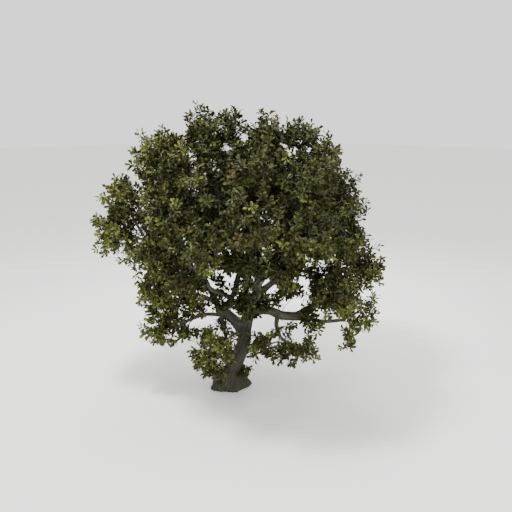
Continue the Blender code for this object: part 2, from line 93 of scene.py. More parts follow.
# A limb starts at a share of its parent's length. Heading is in degrees from +X toward +Y,
# rise in degrees above level, and turn and lift are how far the two change along its length.
# A rise past 90 leans back over its start. Thick and thin are its radii at foot and tip.
Limb = namedtuple("Limb", "parent at heading rise turn lift length thick thin")
LIMBS = {
    "left_bough": Limb("trunk", 0.565, -170, 50, 0, -4, 1.45, 0.24, 0.165),
    "right_bough": Limb("trunk", 0.8, -10, 0, 10, -15, 1.95, 0.19, 0.16),
    "leader_left": Limb("trunk", 0.98, -145, 50, -20, 38, 4.7, 0.13, 0.06),
    "leader_mid": Limb("trunk", 0.97, 45, 84, 130, 0, 4.8, 0.15, 0.06),
    "leader_right": Limb("trunk", 0.96, 0, 32, 20, 65, 5.3, 0.13, 0.06),
    "far_left_bough": Limb("left_bough", 0.97, 150, 65, 45, -45, 4.0, 0.12, 0.06),
    "up_left_bough": Limb("left_bough", 0.9, 175, 132, 10, -99, 5.2, 0.11, 0.06),
    "low_left_bough": Limb("left_bough", 0.66, -165, 23, -15, -62, 1.8, 0.08, 0.06),
    "mid_left_bough": Limb("far_left_bough", 0.06, -135, 28, -20, 10, 1.2, 0.08, 0.06),
    "pendant_bough": Limb("left_bough", 0.93, -78, -54, 25, 6, 1.75, 0.07, 0.055),
    "front_left_bough": Limb("up_left_bough", 0.12, -125, 25, 10, 25, 2.95, 0.09, 0.06),
    "right_up_bough": Limb("right_bough", 0.95, 5, 22, 10, 90, 3.8, 0.16, 0.06),
    "right_out_bough": Limb("right_bough", 0.97, 5, -20, 0, 25, 1.8, 0.09, 0.06),
    "right_side_bough": Limb("right_up_bough", 0.33, 15, 15, 0, 60, 1.3, 0.07, 0.06),
    "under_bough": Limb("right_bough", 0.55, -125, -50, 95, 0, 0.95, 0.09, 0.06),
    "front_mid_bough": Limb("leader_mid", 0.1, -90, 40, -15, 10, 3.8, 0.12, 0.06),
    "front_right_bough": Limb("leader_right", 0.14, -70, 40, 0, 10, 3.2, 0.11, 0.06),
    "front_low_bough": Limb("trunk", 0.87, -80, 20, 0, 40, 1.9, 0.08, 0.06),
    "back_left_bough": Limb("leader_left", 0.1, 120, 30, 20, -20, 3.3, 0.11, 0.06),
    "back_right_bough": Limb("leader_right", 0.22, 70, 35, 0, -20, 2.6, 0.11, 0.06),
    "back_mid_bough": Limb("leader_mid", 0.2, 95, 45, 10, -15, 2.9, 0.11, 0.06),
}

# A mass of foliage grows from its bough's tip: the heading, rise and reach from there to its
# middle, then its half sizes along X, Y and Z.
Mass = namedtuple("Mass", "bough heading rise reach half_x half_y half_z")
MASSES = {
    "foliage_left_low": Mass("low_left_bough", 175, -25, 0.65, 1.2, 1.1, 0.45),
    "foliage_left_side": Mass("low_left_bough", 140, 55, 1.45, 1.1, 1.5, 1.15),
    "foliage_left_mid": Mass("mid_left_bough", 175, 50, 2.0, 1.15, 1.5, 0.95),
    "foliage_left_front": Mass("mid_left_bough", -90, 45, 1.55, 1.05, 1.3, 1.05),
    "foliage_far_left": Mass("far_left_bough", -175, 20, 1.1, 0.9, 1.3, 1.0),
    "foliage_left_upper": Mass("far_left_bough", 160, 60, 1.65, 0.7, 1.4, 1.05),
    "foliage_left_shoulder": Mass("up_left_bough", 155, 30, 2.15, 1.0, 1.6, 1.2),
    "foliage_upper_left": Mass("up_left_bough", -125, 45, 1.65, 1.05, 1.5, 1.15),
    "foliage_top_left": Mass("leader_left", 115, 55, 2.0, 0.85, 1.6, 1.05),
    "foliage_upper_front_left": Mass("leader_left", -100, 5, 1.65, 1.1, 1.5, 1.0),
    "foliage_top_mid": Mass("leader_mid", 150, 55, 1.6, 0.55, 1.4, 0.75),
    "foliage_top_mid_right": Mass("leader_mid", -50, 50, 1.15, 1.05, 1.6, 1.0),
    "foliage_top_right": Mass("leader_right", 135, 65, 1.5, 0.8, 1.2, 0.7),
    "foliage_right_shoulder": Mass("leader_right", 45, 75, 0.5, 1.0, 1.6, 1.1),
    "foliage_right_upper": Mass("right_up_bough", 75, 70, 1.45, 1.05, 1.6, 1.1),
    "foliage_right_mid": Mass("right_up_bough", -75, 15, 1.05, 1.0, 1.7, 1.0),
    "foliage_far_right": Mass("right_side_bough", 35, 5, 0.7, 1.05, 1.3, 0.9),
    "foliage_right_side": Mass("right_side_bough", -120, -15, 1.2, 1.1, 1.3, 1.15),
    "foliage_right_low": Mass("right_out_bough", 0, 30, 0.7, 0.85, 0.8, 0.65),
    "foliage_right_drooping": Mass("right_out_bough", -70, -50, 0.65, 0.55, 0.5, 0.4),
    "foliage_under_left": Mass("under_bough", -170, -25, 0.75, 0.75, 0.8, 0.75),
    "foliage_under_right": Mass("under_bough", 5, -30, 0.8, 1.0, 0.9, 0.7),
    "foliage_pendant": Mass("pendant_bough", -175, 15, 0.8, 0.9, 0.9, 1.1),
    "foliage_foot": Mass("pendant_bough", -160, -40, 0.95, 0.7, 0.6, 0.45),
    "foliage_front_left_out": Mass("front_left_bough", 180, 70, 2.0, 1.15, 1.5, 1.1),
    "foliage_front_left": Mass("front_left_bough", -60, 50, 1.75, 1.15, 1.5, 1.05),
    "foliage_front_mid": Mass("front_mid_bough", -85, 20, 1.3, 1.2, 1.5, 1.1),
    "foliage_front_top": Mass("front_mid_bough", -80, 80, 1.65, 1.15, 1.6, 1.1),
    "foliage_front_right": Mass("front_right_bough", -85, 20, 1.25, 1.3, 1.6, 1.1),
    "foliage_front_right_up": Mass("front_right_bough", -85, 80, 1.95, 1.25, 1.6, 1.15),
    "foliage_front_low": Mass("front_low_bough", -60, 55, 1.1, 1.6, 1.4, 1.0),
    "foliage_front_fork": Mass("front_low_bough", 165, -45, 0.85, 0.6, 0.7, 0.8),
    "foliage_back_left_out": Mass("back_left_bough", 170, 45, 1.8, 1.55, 1.7, 1.6),
    "foliage_back_left": Mass("back_left_bough", 90, 20, 1.5, 1.75, 1.6, 1.6),
    "foliage_back_right_out": Mass("back_right_bough", 20, 25, 1.1, 1.6, 1.7, 1.6),
    "foliage_back_right": Mass("back_right_bough", 95, 5, 1.5, 1.7, 1.6, 1.6),
    "foliage_back_mid": Mass("back_mid_bough", 90, -5, 1.55, 1.85, 1.6, 1.7),
    "foliage_back_top": Mass("back_mid_bough", -165, 85, 1.8, 1.9, 1.8, 1.4),
}

# A shoot is a small mass on the side of a limb, from a share of the limb's length.
Shoot = namedtuple("Shoot", "limb at heading rise reach half_x half_y half_z")
SHOOTS = (
    Shoot("trunk", 0.8, -90, 20, 0.85, 0.3, 0.35, 0.55),
    Shoot("trunk", 0.97, -125, 20, 0.95, 0.3, 0.35, 0.35),
    Shoot("trunk", 0.2, -30, -5, 0.55, 0.1, 0.1, 0.1),
    Shoot("trunk", 0.85, -100, -10, 0.95, 0.2, 0.25, 0.3),
    Shoot("left_bough", 0.95, -110, 60, 1.0, 0.35, 0.4, 0.45),
    Shoot("left_bough", 0.8, -100, 55, 0.65, 0.3, 0.3, 0.3),
    Shoot("low_left_bough", 0.45, -150, 40, 0.65, 0.5, 0.5, 0.35),
    Shoot("low_left_bough", 0.9, 175, 10, 1.25, 0.5, 0.7, 0.4),
    Shoot("low_left_bough", 0.75, -170, -45, 0.65, 0.45, 0.5, 0.3),
    Shoot("pendant_bough", 0.3, -170, -25, 0.7, 0.45, 0.4, 0.3),
    Shoot("pendant_bough", 0.4, -60, 5, 0.4, 0.3, 0.3, 0.25),
    Shoot("pendant_bough", 0.7, -55, 15, 0.4, 0.25, 0.3, 0.2),
    Shoot("front_low_bough", 0.6, -165, -15, 0.9, 0.35, 0.4, 0.3),
    Shoot("front_low_bough", 0.3, -140, -20, 0.8, 0.25, 0.3, 0.2),
    Shoot("right_bough", 0.05, -50, 35, 0.75, 0.35, 0.4, 0.35),
    Shoot("right_bough", 0.45, -45, 50, 0.6, 0.35, 0.3, 0.2),
    Shoot("leader_right", 0.2, -100, -35, 0.8, 0.4, 0.5, 0.3),
    Shoot("leader_right", 0.4, -110, -65, 1.15, 0.35, 0.6, 0.45),
    Shoot("right_bough", 0.93, -50, 45, 0.8, 0.4, 0.4, 0.3),
    Shoot("right_bough", 0.95, -30, -25, 0.8, 0.4, 0.5, 0.4),
    Shoot("under_bough", 0.2, -5, -25, 0.65, 0.4, 0.3, 0.2),
    Shoot("under_bough", 0.5, -125, -50, 0.25, 0.35, 0.4, 0.35),
    Shoot("right_out_bough", 0.5, 20, 35, 1.15, 0.35, 0.4, 0.2),
    Shoot("right_up_bough", 0.3, -130, 65, 0.8, 0.4, 0.6, 0.5),
    Shoot("leader_left", 0.25, -75, 5, 0.25, 0.35, 0.4, 0.3),
    Shoot("leader_mid", 0.2, -95, 20, 0.95, 0.45, 0.5, 0.5),
    Shoot("up_left_bough", 0.5, -145, -25, 0.75, 0.45, 0.5, 0.35),
    Shoot("far_left_bough", 0.4, -75, 10, 0.8, 0.5, 0.6, 0.45),
    Shoot("mid_left_bough", 0.8, 170, -20, 0.65, 0.5, 0.6, 0.4),
    Shoot("left_bough", 0.9, -175, 30, 0.6, 0.35, 0.35, 0.3),
    Shoot("left_bough", 0.8, -130, -45, 0.5, 0.25, 0.3, 0.25),
    Shoot("up_left_bough", 1.0, 165, 25, 2.85, 0.3, 0.4, 0.25),
    Shoot("right_bough", 0.2, -35, 40, 0.75, 0.35, 0.35, 0.3),
    Shoot("right_up_bough", 0.2, -90, 60, 0.8, 0.35, 0.4, 0.35),
    Shoot("right_up_bough", 0.3, -150, 70, 1.25, 0.4, 0.5, 0.45),
    Shoot("trunk", 0.95, -30, -10, 0.4, 0.3, 0.3, 0.3),
    Shoot("right_bough", 0.97, -20, 35, 0.9, 0.35, 0.4, 0.2),
    Shoot("low_left_bough", 0.8, -165, 5, 0.75, 0.5, 0.4, 0.3),
    Shoot("leader_right", 0.5, -155, -50, 1.3, 0.45, 0.6, 0.45),
    Shoot("leader_left", 0.35, 95, -25, 0.2, 0.35, 0.4, 0.35),
    Shoot("leader_mid", 0.75, 150, 35, 1.2, 0.75, 0.9, 0.75),
    Shoot("up_left_bough", 0.15, 140, 25, 0.85, 0.25, 0.3, 0.2),
    Shoot("leader_left", 0.12, 150, -25, 1.1, 0.25, 0.25, 0.15),
    Shoot("right_up_bough", 0.7, -150, 40, 1.1, 0.45, 0.6, 0.3),
    Shoot("right_side_bough", 0.9, 10, 5, 0.8, 0.4, 0.5, 0.35),
    Shoot("under_bough", 0.9, -15, -65, 0.55, 0.35, 0.4, 0.2),
    Shoot("pendant_bough", 0.95, -170, -15, 1.25, 0.35, 0.4, 0.35),
    Shoot("low_left_bough", 1.0, 180, -30, 1.25, 0.5, 0.6, 0.15),
    Shoot("right_out_bough", 1.0, -60, -65, 0.75, 0.3, 0.3, 0.25),
    Shoot("right_up_bough", 1.0, 15, 40, 1.5, 0.2, 0.3, 0.2),
    Shoot("low_left_bough", 0.6, -170, 20, 0.55, 0.3, 0.35, 0.15),
    Shoot("leader_mid", 0.7, 50, 50, 1.25, 0.85, 0.9, 0.8),
    Shoot("leader_right", 0.75, 100, 25, 1.85, 0.85, 0.9, 0.75),
    Shoot("up_left_bough", 0.15, -150, 30, 0.75, 0.3, 0.35, 0.25),
    Shoot("leader_left", 0.12, -150, 5, 0.7, 0.25, 0.3, 0.25),
    Shoot("up_left_bough", 0.4, -165, -10, 0.75, 0.45, 0.4, 0.25),
    Shoot("leader_right", 0.3, -105, -30, 0.65, 0.3, 0.4, 0.35),
    Shoot("right_bough", 0.6, -20, 65, 1.05, 0.5, 0.35, 0.15),
    Shoot("leader_right", 0.5, -105, -60, 0.9, 0.45, 0.5, 0.3),
    Shoot("right_bough", 0.75, -30, 5, 0.7, 0.25, 0.3, 0.2),
    Shoot("left_bough", 0.9, -50, 80, 1.2, 0.2, 0.3, 0.3),
    Shoot("right_up_bough", 0.5, -145, 65, 0.85, 0.35, 0.4, 0.2),
    Shoot("leader_right", 0.3, -135, -45, 0.95, 0.2, 0.3, 0.2),
    Shoot("right_up_bough", 0.2, -150, 50, 0.65, 0.2, 0.3, 0.2),
    Shoot("under_bough", 0.9, 35, -75, 0.95, 0.35, 0.35, 0.25),
    Shoot("under_bough", 0.6, 10, -15, 0.85, 0.25, 0.3, 0.2),
    Shoot("leader_mid", 0.5, 65, -35, 0.55, 0.9, 0.8, 0.45),
    Shoot("leader_left", 0.5, 105, 10, 1.15, 0.85, 0.8, 0.45),
    Shoot("leader_right", 0.6, 135, -30, 0.55, 0.75, 0.8, 0.45),
)

# An opening is a gap among the leaves as the camera sees it, an ellipse: its middle to the
# right of and above the camera's aim, and its half sizes. It goes in as far as a Y.
Opening = namedtuple("Opening", "right up half_right half_up depth")
THROUGH = 9.0
OPENINGS = (
    Opening(0.3, -2.55, 0.45, 0.4, THROUGH),
    Opening(1.45, -1.73, 0.58, 0.26, THROUGH),
    Opening(-2.0, -2.5, 0.4, 0.22, THROUGH),
    Opening(1.57, -2.95, 0.35, 0.32, THROUGH),
    Opening(1.78, -0.97, 0.27, 0.22, THROUGH),
    Opening(-0.95, -1.42, 0.3, 0.25, THROUGH),
    Opening(-1.1, -0.86, 0.17, 0.15, THROUGH),
    Opening(0.8, -3.1, 0.28, 0.16, THROUGH),
    Opening(1.05, -2.45, 0.2, 0.12, THROUGH),
    Opening(1.95, 3.9, 0.22, 0.22, THROUGH),
    Opening(-3.85, -2.6, 0.3, 0.12, THROUGH),
    Opening(-4.5, 2.8, 0.25, 0.22, THROUGH),
    Opening(-2.3, -3.1, 0.22, 0.1, THROUGH),
    Opening(2.85, -2.15, 0.25, 0.14, THROUGH),
    Opening(-3.55, -2.0, 0.25, 0.12, THROUGH),
    Opening(-5.05, 0.5, 0.12, 0.12, THROUGH),
    Opening(-1.1, 4.05, 0.25, 0.24, THROUGH),
    Opening(1.3, 3.7, 0.1, 0.3, THROUGH),
    Opening(1.75, 3.3, 0.1, 0.25, THROUGH),
    Opening(-0.5, 4.4, 0.13, 0.35, THROUGH),
    Opening(-0.8, -2.1, 0.18, 0.22, THROUGH),
    Opening(0.43, -0.95, 0.2, 0.16, THROUGH),
    Opening(-1.8, -1.25, 0.12, 0.16, THROUGH),
    Opening(-0.5, -1.15, 0.14, 0.12, THROUGH),
    Opening(-3.6, -0.55, 0.1, 0.1, THROUGH),
    Opening(3.85, -2.0, 0.1, 0.12, THROUGH),
    Opening(3.85, 0.2, 0.1, 0.1, THROUGH),
    Opening(-1.7, -3.4, 0.2, 0.14, THROUGH),
    Opening(-0.45, -3.4, 0.22, 0.7, 0.0),
    Opening(-1.64, -1.19, 0.2, 0.35, -0.1),
    Opening(0.04, -1.1, 0.22, 0.5, -0.1),
    Opening(0.65, -1.15, 0.3, 0.3, -0.1),
    Opening(-0.75, -0.8, 0.2, 0.35, -0.1),
    Opening(-2.24, 6.05, 0.5, 0.25, THROUGH),
    Opening(-2.6, 4.66, 0.14, 0.25, THROUGH),
    Opening(-4.0, 4.5, 0.2, 0.12, THROUGH),
    Opening(1.45, 4.0, 0.2, 0.25, THROUGH),
    Opening(3.6, 3.0, 0.2, 0.15, THROUGH),
    Opening(-6.08, 1.42, 0.12, 0.12, THROUGH),
    Opening(-5.6, 1.8, 0.12, 0.25, THROUGH),
    Opening(4.5, 0.04, 0.15, 0.25, THROUGH),
    Opening(4.17, -1.57, 0.15, 0.15, THROUGH),
    Opening(-0.8, 5.8, 0.4, 0.2, THROUGH),
    Opening(-2.45, 2.25, 0.35, 0.6, 0.0),
    Opening(-1.4, 2.5, 0.2, 0.75, 0.0),
    Opening(0.2, 1.5, 0.2, 0.45, 0.0),
    Opening(0.7, 1.35, 0.65, 0.2, 0.0),
    Opening(2.2, 1.45, 0.18, 0.4, 0.0),
)

# Growth inside a mass
SEED = 11
SHADE = 0.4
LIT_DEPTH = 1.3
SHADE_DEPTH = 2.2
CROWN_HEART = np.array((1.0, 0.0, 4.0))
FORK_SHARE = 0.5
HEART_SHARE = 0.5
STEM_NECK = 0.14
STEM_PLACE = 0.5
STEM_SPREAD = 0.5
WALL = -0.05
TAPER = (0.4, 0.55, 0.7, 0.85, 1.0)
RAGGED = 0.12
EDGE = 0.3
SHOOT_NECK = 0.35
SHOOT_SPACING = 0.8
TUFT_SPREAD = 0.12
TUFT_REACH = 0.2
TUFT_RISE = 0.2
LIFT = 0.45
OUTWARD = 0.4
TWIG_SIDES = 3
BRANCH_SIDES = 7
BRANCH_SPRAYS = 10
TWIG_POWER = 0.45

CROWN_MIDDLE = np.array((1.0, 0.0, 5.0))
# Painted light on the leaves: shade from a middle high in the crown, its sizes, shares of sprays by tint, a
# random mix, shade deep in a mass and near the ground, and the russet share
SHADE_MIDDLE = np.array((1.0, 0.0, 7.2))
SHADE_HALF = np.array((5.2, 8.0, 4.8))
TINT_SHARES = (0.3, 0.34, 0.22, 0.14)
TINT_MIX = 0.18
MASS_SHADE = 0.35
LOW_SHADE = 0.4
SHADE_BELOW = 2.3
RUSSET_SHARE = 0.012

# Bark
BARK_STEP = 0.05
TRUNK_STEP = 0.025
TRUNK_SIDES = 152
BOUGH_SIDES = 24
RIDGES_PER_METRE = 16
FOOT_RIDGES = 2.4

# The camera, level with the middle of the crown and looking a little down at it
CAMERA_AIM = Vector((1.03, 0.0, 5.2))
CAMERA_RANGE = 26.5
CAMERA_RISE = math.radians(15)
CAMERA_LENS = 50.0
CAMERA_SENSOR = 36.0

# A leaf's outline on one side of its midrib: shares of its length along it and across it
LEAF_SIDE = ((0.0, 0.015), (0.3, 0.16), (0.43, 0.13), (0.66, 0.245), (0.86, 0.175))
LEAF_RIB = (0.45, 1.0)
PIECE_FACES = 180000
LEAF_SIDE_FACES = ((2, 1, 0), (5, 2, 0), (3, 2, 5), (4, 3, 5), (6, 4, 5))


def heading_and_rise(heading, rise):
    """The unit vector of a heading and a rise in degrees."""
    heading, rise = math.radians(heading), math.radians(rise)
    level = math.cos(rise)
    return np.array((level * math.cos(heading), level * math.sin(heading), math.sin(rise)))


def unit(vectors):
    """A vector, or each row of vectors, at a length of one."""
    vectors = np.asarray(vectors, float)
    return vectors / np.linalg.norm(vectors, axis=-1, keepdims=True)


def square_to(way):
    """Two unit vectors square to a direction and to each other."""
    level = np.cross((0.0, 0.0, 1.0), way)
    if np.linalg.norm(level) < 0.2:
        level = np.cross((0.0, 1.0, 0.0), way)
    level = unit(level)
    return level, np.cross(unit(way), level)


def trunk_centre(height):
    """The middle of the trunk at a height."""
    sway = TRUNK_SWAY * math.sin(2 * math.pi * height / TRUNK_SWAY_LENGTH)
    return np.array((TRUNK_LEAN * height - sway, 0.0, height))


def trunk_radius(height, angles):
    """The trunk's radius at a height and the angles round it, with the flare's root lobes."""
    taper = max(TRUNK_TOP_RADIUS, TRUNK_FOOT_RADIUS - TRUNK_TAPER * height)
    lobes = ROOT_LOBE_DEPTH * np.cos(ROOT_LOBES * angles + ROOT_LOBE_TURN)
    lobes = lobes + ROOT_LOBE_SKEW * np.cos((ROOT_LOBES - 2) * angles - ROOT_LOBE_TURN)
    return taper + FLARE_RADIUS * math.exp(-(height / FLARE_HEIGHT) ** 2) * (1 + lobes)


def limb_path(start, limb, steps):
    """Points along a limb from its start, one for each step of its length."""
    path = [np.array(start)]
    for step in range(steps):
        along = (step + 0.5) / steps
        sway = SWAY_DEGREES * math.cos(2 * math.pi * along * limb.length / SWAY_LENGTH)
        way = heading_and_rise(limb.heading + limb.turn * along, limb.rise + limb.lift * along + sway)
        path.append(path[-1] + way * limb.length / steps)
    return path


def limb_radius(limb, along):
    """A limb's radius at a share of its length, with a collar at its foot."""
    collar = 1 + COLLAR * math.exp(-along * limb.length / COLLAR_LENGTH)
    return (limb.thick + (limb.thin - limb.thick) * along) * collar


def point_along(path, share):
    """The point at a share of a path's length, its steps being even."""
    place = share * (len(path) - 1)
    step = min(int(place), len(path) - 2)
    return path[step] + (path[step + 1] - path[step]) * (place - step)


@functools.lru_cache
def limb_paths():
    """The path of the trunk and of every bough, each from the axis of its parent."""
    steps = max(2, round(TRUNK_HEIGHT / RING_SPACING))
    paths = {"trunk": [trunk_centre(TRUNK_HEIGHT * step / steps) for step in range(steps + 1)]}
    for name, limb in LIMBS.items():
        start = point_along(paths[limb.parent], limb.at)
        paths[name] = limb_path(start, limb, max(2, round(limb.length / RING_SPACING)))
    return paths


class Space:
    """The convex room of one mass: its ellipsoid, less what lies nearer to another mass."""

    def __init__(self, root, centre, halves):
        self.root = root
        self.centre = centre
        self.halves = halves
        self.walls = []

    def half_toward(self, way):
        """The ellipsoid's half size in a direction."""
        return 1 / np.linalg.norm(way / self.halves)

    def add_wall(self, other):
        """Keep to this side of the plane that parts the space from another."""
        away = other.centre - self.centre
        distance = np.linalg.norm(away)
        way = away / distance
        own, theirs = self.half_toward(way), other.half_toward(way)
        share = distance * own / (own + theirs) - WALL
        self.walls.append((way, way.dot(self.centre) + share))

    def corners(self):
        """The lowest and the highest corner of the space."""
        near = self.halves * TAPER[0]
        low = np.minimum(self.centre - self.halves, self.root - near)
        return low, np.maximum(self.centre + self.halves, self.root + near)

    def holds(self, points, margins):
        """Which points lie in the space, at least a margin inside its skin."""
        inside = np.zeros(len(points), bool)
        halves = np.maximum(self.halves - margins[:, None], 0.12)
        for share in TAPER:
            middle = self.root + share * (self.centre - self.root)
            inside |= np.linalg.norm((points - middle) / (halves * share), axis=1) <= 1
        for way, limit in self.walls:
            inside &= points @ way <= limit
        return inside

    def reach(self, start, way):
        """How far a point inside can move in a direction before it leaves the space."""
        offset, step = (start - self.centre) / self.halves, way / self.halves
        square, double, rest = step.dot(step), offset.dot(step), offset.dot(offset) - 1
        far = (-double + math.sqrt(max(0.0, double * double - square * rest))) / square
        for wall, limit in self.walls:
            slope = wall.dot(way)
            if slope > 0:
                far = min(far, (limit - wall.dot(start)) / slope)
        return max(0.0, far)


@functools.lru_cache
def mass_spaces():
    """The space of every mass of foliage."""
    spaces = {}
    for name, mass in MASSES.items():
        way = heading_and_rise(mass.heading, mass.rise)
        root = limb_paths()[mass.bough][-1]
        halves = np.array((mass.half_x, mass.half_y, mass.half_z))
        spaces[name] = Space(root, root + mass.reach * way, halves)
    for name, space in spaces.items():
        for other_name, other in spaces.items():
            if other_name != name:
                space.add_wall(other)
    return spaces


def stem_start(name):
    """The first points of a mass's stem: on its bough's tip, past it, and inside its space."""
    spaces, paths = mass_spaces(), limb_paths()
    space, bough = spaces[name], MASSES[name].bough
    tip = paths[bough][-1]
    way = unit(tip - paths[bough][-2])
    sisters = [other for other in MASSES if MASSES[other].bough == bough and other != name]
    aside = space.centre - (spaces[sisters[0]].centre if sisters else tip)
    aside = unit(aside - aside.dot(way) * way)
    foot = tip - way * 0.1
    neck = tip + aside * LIMBS[bough].thin * (STEM_PLACE if sisters else 0)
    neck = neck + (way + STEM_SPREAD * aside) * STEM_NECK
    back = neck - space.centre
    inward = unit(back)
    depth = min(space.reach(space.centre, inward), np.linalg.norm(back))
    return [foot, neck, space.centre + inward * depth * HEART_SHARE]


def camera_axes():
    """The camera's place and the directions to its right, above it and along its view."""
    view = np.array((0.0, math.cos(CAMERA_RISE), -math.sin(CAMERA_RISE)))
    above = np.array((0.0, math.sin(CAMERA_RISE), math.cos(CAMERA_RISE)))
    return np.array(CAMERA_AIM) - CAMERA_RANGE * view, np.array((1.0, 0.0, 0.0)), above, view


def covered(points):
    """Which points leave every opening clear."""
    place, right, above, view = camera_axes()
    offsets = points - place
    scale = CAMERA_RANGE / (offsets @ view)
    across, up = offsets @ right * scale, offsets @ above * scale
    kept = np.ones(len(points), bool)
    for opening in OPENINGS:
        aside = (across - opening.right) / opening.half_right
        inside = aside ** 2 + ((up - opening.up) / opening.half_up) ** 2 < 1
        kept &= ~(inside & (points[:, 1] < opening.depth))
    return kept


def lit(heads, space, chance):
    """Which tufts get light enough: all near a mass's outer side, and fewer deeper in the crown."""
    outward = unit(space.centre - CROWN_HEART)
    depth = space.half_toward(outward) - (heads - space.centre) @ outward
    odds = 1 - (depth - LIT_DEPTH) / (SHADE_DEPTH - LIT_DEPTH)
    return chance.random(len(heads)) < odds.clip(SHADE, 1)


def spray_spots(space, spacing, count, leaf, chance):
    """Places for sprays through a space, in tufts about evenly spaced, with a ragged edge."""
    low, high = space.corners()
    lines = [np.arange(start, end, spacing) for start, end in zip(low, high)]
    grid = np.stack(np.meshgrid(*lines, indexing="ij"), axis=-1).reshape(-1, 3)
    heads = grid + chance.uniform(0, spacing, grid.shape)
    margins = leaf + chance.uniform(0, RAGGED, len(heads))
    heads = heads[space.holds(heads, margins)]
    heads = np.concatenate([[space.centre], heads[lit(heads, space, chance)]])
    ways = unit(unit(heads - CROWN_MIDDLE) * OUTWARD + np.array((0, 0, LIFT)))[:, None]
    offsets = chance.normal(0, TUFT_SPREAD, (len(heads), count, 3)).clip(-TUFT_REACH, TUFT_REACH)
    offsets = offsets + ways * chance.uniform(-1, 1, (len(heads), count, 1)) * TUFT_RISE
    spots = (heads[:, None] + offsets).reshape(-1, 3)
    clear = spots[covered(spots)]
    return clear if len(clear) else spots[:1]


def split(spots):
    """The spots in two halves, parted across their longest spread."""
    spread = spots - spots.mean(axis=0)
    axis = np.linalg.svd(spread, full_matrices=False)[2][0]
    axis = axis * np.sign(axis[np.abs(axis).argmax()])
    order = np.argsort(spread @ axis)
    half = len(order) // 2
    return spots[order[:half]], spots[order[half:]]


def grow(path, counts, spots, twigs, chance):
    """Carry a twig on to one of its spots, with a side twig at each fork for the other half."""
    while len(spots) > 1:
        step = (spots.mean(axis=0) - path[-1]) * FORK_SHARE
        path.append(path[-1] + step + chance.normal(size=3) * np.linalg.norm(step) * 0.16)
        counts.append(len(spots))
        spots, others = split(spots)
        grow([path[-1]], [len(others)], others, twigs, chance)
    middle = (path[-1] + spots[0]) / 2
    spread = np.linalg.norm(spots[0] - path[-1])
    path.append(middle + chance.normal(size=3) * spread * 0.06 - np.array((0, 0, spread * 0.05)))
    path.append(spots[0])
    counts.extend((1, 1))
    twigs.append((path, counts))


def smooth(path, step):
    """Points about a step apart on a smooth curve through a path."""
    ends = np.array([2 * path[0] - path[1], *path, 2 * path[-1] - path[-2]])
    points = []
    for place in range(len(path) - 1):
        before, start, end, after = ends[place:place + 4]
        count = max(1, round(np.linalg.norm(end - start) / step))
        t = (np.arange(count) / count)[:, None]
        bend = (2 * before - 5 * start + 4 * end - after) * t ** 2
        turn = (3 * start - before - 3 * end + after) * t ** 3
        points.append((2 * start + (end - before) * t + bend + turn) / 2)
    return np.concatenate(points + [path[-1][None]])


def path_frames(path):
    """Across and up at each point of a path, square to it, without a twist along it."""
    path = np.asarray(path)
    ways = unit(np.concatenate([path[1:2] - path[:1], path[2:] - path[:-2], path[-1:] - path[-2:-1]]))
    across = square_to(ways[0])[0]
    frames = np.empty((2, len(path), 3))
    for place, way in enumerate(ways):
        across = unit(across - across.dot(way) * way)
        frames[0, place] = across
        frames[1, place] = np.cross(way, across)
    return frames


class Shell:
    """Points and faces that gather into one mesh."""

    def __init__(self):
        self.points = []
        self.places = []
        self.faces = []
        self.count = 0

    def add(self, points, faces, places=None):
        """Add points, faces that number them from nought, and their places in the bark."""
        self.points.append(points)
        self.faces.extend(face + self.count for face in faces)
        if places is not None:
            self.places.append(places)
        self.count += len(points)

    def add_tube(self, rings, places=None):
        """Add a closed tube through rings of equal count, with a flat start and a closed end."""
        rows, sides = rings.shape[:2]
        low = (np.arange(rows - 1)[:, None] * sides + np.arange(sides)[None]).ravel()
        after = (np.arange(rows - 1)[:, None] * sides + (np.arange(sides) + 1)[None] % sides).ravel()
        quads = np.stack((low, after, after + sides, low + sides), axis=1)
        start = np.arange(sides)[None, ::-1]
        end = (np.arange(sides) + (rows - 1) * sides)[None]
        if places is not None:
            places = places.reshape(-1, 4)
        self.add(rings.reshape(-1, 3), [quads, start, end], places)

    def piece(self, name, material, slot, nodes):
        """The mesh as a piece of the tree that stands for its nodes."""
        mesh = bpy.data.meshes.new(name)
        points = np.concatenate(self.points)
        mesh.vertices.add(len(points))
        mesh.vertices.foreach_set("co", points.astype(np.float32).ravel())
        loops = np.concatenate([faces.ravel() for faces in self.faces])
        totals = np.concatenate([np.full(len(faces), faces.shape[1]) for faces in self.faces])
        mesh.loops.add(len(loops))
        mesh.loops.foreach_set("vertex_index", loops.astype(np.int32))
        mesh.polygons.add(len(totals))
        mesh.polygons.foreach_set("loop_start", (np.cumsum(totals) - totals).astype(np.int32))
        mesh.update(calc_edges=True)
        if self.places:
            places = np.concatenate(self.places).astype(np.float32)
            attribute = mesh.attributes.new("bark_place", "FLOAT_VECTOR", "POINT")
            attribute.data.foreach_set("vector", places[:, :3].ravel())
            attribute = mesh.attributes.new("bark_relief", "FLOAT", "POINT")
            attribute.data.foreach_set("value", places[:, 3].copy())
        mesh.materials.append(material)
        made = bpy.data.objects.new(name, mesh)
        bpy.context.scene.collection.objects.link(made)
        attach(made, "root")
        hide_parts(*nodes)
        return made


